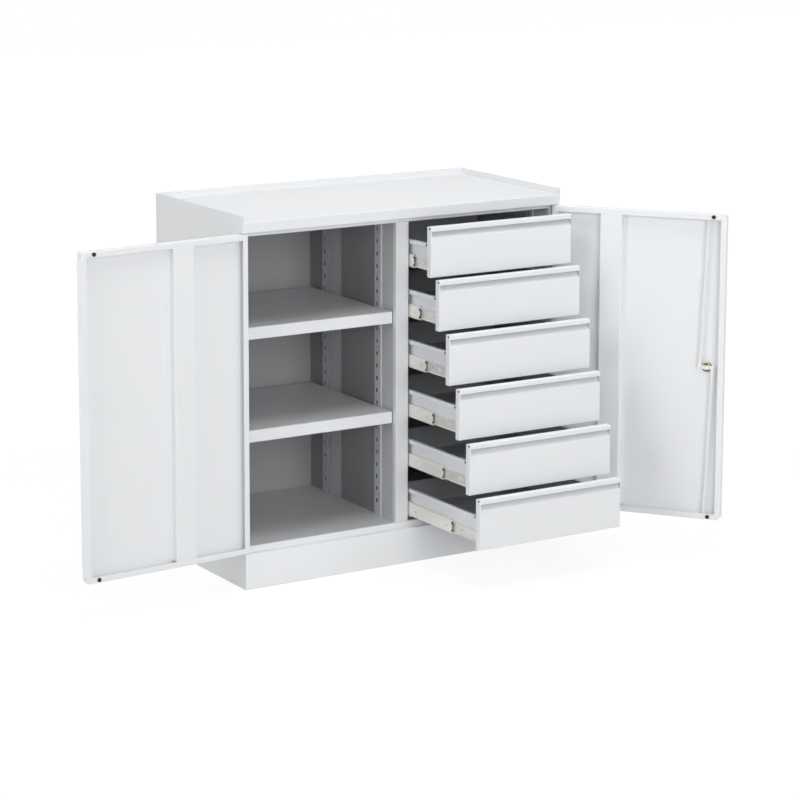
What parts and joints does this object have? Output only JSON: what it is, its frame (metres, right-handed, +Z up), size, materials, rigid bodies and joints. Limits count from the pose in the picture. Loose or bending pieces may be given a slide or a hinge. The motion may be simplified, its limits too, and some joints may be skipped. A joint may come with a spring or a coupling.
{
  "type": "tool cabinet with doors",
  "caption": "Low two-door steel tool cabinet: shelves on slotted uprights in one bay, a stack of drawers on telescopic slides in the other, and a raised rim round the top.",
  "frame": {"origin": "centre of the base on the floor", "axes": "+X to the right seen from the front, +Y to the back, +Z up; the doors and drawers open towards -Y"},
  "size_m": [1.7889, 0.8824, 1],
  "materials": {
    "carcass_paint": "satin",
    "door_paint": "satin",
    "drawer_paint": "satin",
    "box_paint": "satin",
    "zinc_steel": "satin",
    "warm_steel": "satin",
    "rubber": "matte"
  },
  "bodies": {
    "cabinet": {"left_side_panel": "carcass_paint", "right_side_panel": "carcass_paint", "back_panel": "carcass_paint", "top_tray": "carcass_paint", "top_rail": "carcass_paint", "bottom_board": "carcass_paint", "plinth": "carcass_paint", "base_channel": "carcass_paint", "partition": "carcass_paint", "left_bay_uprights": "carcass_paint", "drawer_bay_uprights": "carcass_paint", "upper_shelf": "carcass_paint", "lower_shelf": "carcass_paint", "shelf_clips": "zinc_steel", "outer_rails": "zinc_steel", "hinge_pins": "zinc_steel"},
    "left_door": {"left_door_pan": "door_paint", "left_door_stiffener": "door_paint", "left_door_overlap_strip": "door_paint", "left_door_buffers": "rubber", "left_door_bushes": "zinc_steel"},
    "right_door": {"right_door_pan": "door_paint", "right_door_stiffener": "door_paint", "right_door_buffers": "rubber", "right_door_bushes": "zinc_steel", "lock_body": "zinc_steel"},
    "lock": {"lock_cam": "warm_steel", "door_handle": "zinc_steel"},
    "rod_up": {"upper_rod": "zinc_steel"},
    "rod_down": {"lower_rod": "zinc_steel"},
    "drawer_1": {"drawer_front_1": "drawer_paint", "drawer_box_1": "box_paint", "drawer_rails_1": "zinc_steel"},
    "slides_1": {"middle_rails_1": "zinc_steel"},
    "drawer_2": {"drawer_front_2": "drawer_paint", "drawer_box_2": "box_paint", "drawer_rails_2": "zinc_steel"},
    "slides_2": {"middle_rails_2": "zinc_steel"},
    "drawer_3": {"drawer_front_3": "drawer_paint", "drawer_box_3": "box_paint", "drawer_rails_3": "zinc_steel"},
    "slides_3": {"middle_rails_3": "zinc_steel"},
    "drawer_4": {"drawer_front_4": "drawer_paint", "drawer_box_4": "box_paint", "drawer_rails_4": "zinc_steel"},
    "slides_4": {"middle_rails_4": "zinc_steel"},
    "drawer_5": {"drawer_front_5": "drawer_paint", "drawer_box_5": "box_paint", "drawer_rails_5": "zinc_steel"},
    "slides_5": {"middle_rails_5": "zinc_steel"},
    "drawer_6": {"drawer_front_6": "drawer_paint", "drawer_box_6": "box_paint", "drawer_rails_6": "zinc_steel"},
    "slides_6": {"middle_rails_6": "zinc_steel"}
  },
  "joints": [
    {"name": "left_door_hinge", "type": "hinge", "parent": "cabinet", "child": "left_door", "pos_m": [-0.492, -0.2395, 0.5255], "axis": [0, 0, -1], "range_deg": [-175.5, 4.5]},
    {"name": "right_door_hinge", "type": "hinge", "parent": "cabinet", "child": "right_door", "pos_m": [0.492, -0.2395, 0.5255], "axis": [0, 0, 1], "range_deg": [-36.5, 52.5]},
    {"name": "lock_turn", "type": "hinge", "parent": "right_door", "child": "lock", "pos_m": [0.75903, -0.58668, 0.5255], "axis": [0.7934, 0.6088, 0], "range_deg": [0, 90]},
    {"name": "upper_rod_pin", "type": "hinge", "parent": "lock", "child": "rod_up", "pos_m": [0.74649, -0.57362, 0.5255], "axis": [0.7934, 0.6088, 0], "range_deg": [-93, 0]},
    {"name": "lower_rod_pin", "type": "hinge", "parent": "lock", "child": "rod_down", "pos_m": [0.76841, -0.60218, 0.5255], "axis": [0.7934, 0.6088, 0], "range_deg": [-93, 0]},
    {"name": "drawer_1_slide", "type": "slide", "parent": "cabinet", "child": "drawer_1", "axis": [0, -1, 0], "range_m": [-0.11, 0.32]},
    {"name": "slides_1_run", "type": "slide", "parent": "cabinet", "child": "slides_1", "axis": [0, -1, 0], "range_m": [-0.042, 0.1218]},
    {"name": "drawer_2_slide", "type": "slide", "parent": "cabinet", "child": "drawer_2", "axis": [0, -1, 0], "range_m": [-0.153, 0.277]},
    {"name": "slides_2_run", "type": "slide", "parent": "cabinet", "child": "slides_2", "axis": [0, -1, 0], "range_m": [-0.07211, 0.13039]},
    {"name": "drawer_3_slide", "type": "slide", "parent": "cabinet", "child": "drawer_3", "axis": [0, -1, 0], "range_m": [-0.204, 0.226]},
    {"name": "slides_3_run", "type": "slide", "parent": "cabinet", "child": "slides_3", "axis": [0, -1, 0], "range_m": [-0.10424, 0.11546]},
    {"name": "drawer_4_slide", "type": "slide", "parent": "cabinet", "child": "drawer_4", "axis": [0, -1, 0], "range_m": [-0.254, 0.176]},
    {"name": "slides_4_run", "type": "slide", "parent": "cabinet", "child": "slides_4", "axis": [0, -1, 0], "range_m": [-0.1399, 0.097]},
    {"name": "drawer_5_slide", "type": "slide", "parent": "cabinet", "child": "drawer_5", "axis": [0, -1, 0], "range_m": [-0.305, 0.125]},
    {"name": "slides_5_run", "type": "slide", "parent": "cabinet", "child": "slides_5", "axis": [0, -1, 0], "range_m": [-0.19235, 0.07895]},
    {"name": "drawer_6_slide", "type": "slide", "parent": "cabinet", "child": "drawer_6", "axis": [0, -1, 0], "range_m": [-0.354, 0.076]},
    {"name": "slides_6_run", "type": "slide", "parent": "cabinet", "child": "slides_6", "axis": [0, -1, 0], "range_m": [-0.23738, 0.05112]}
  ],
  "couplings": [
    {"joint": "upper_rod_pin", "follows": "lock_turn", "ratio": -1.0268},
    {"joint": "lower_rod_pin", "follows": "lock_turn", "ratio": -1.0268},
    {"joint": "slides_1_run", "follows": "drawer_1_slide", "ratio": 0.38},
    {"joint": "slides_2_run", "follows": "drawer_2_slide", "ratio": 0.47},
    {"joint": "slides_3_run", "follows": "drawer_3_slide", "ratio": 0.51},
    {"joint": "slides_4_run", "follows": "drawer_4_slide", "ratio": 0.55},
    {"joint": "slides_5_run", "follows": "drawer_5_slide", "ratio": 0.63},
    {"joint": "slides_6_run", "follows": "drawer_6_slide", "ratio": 0.67}
  ]
}
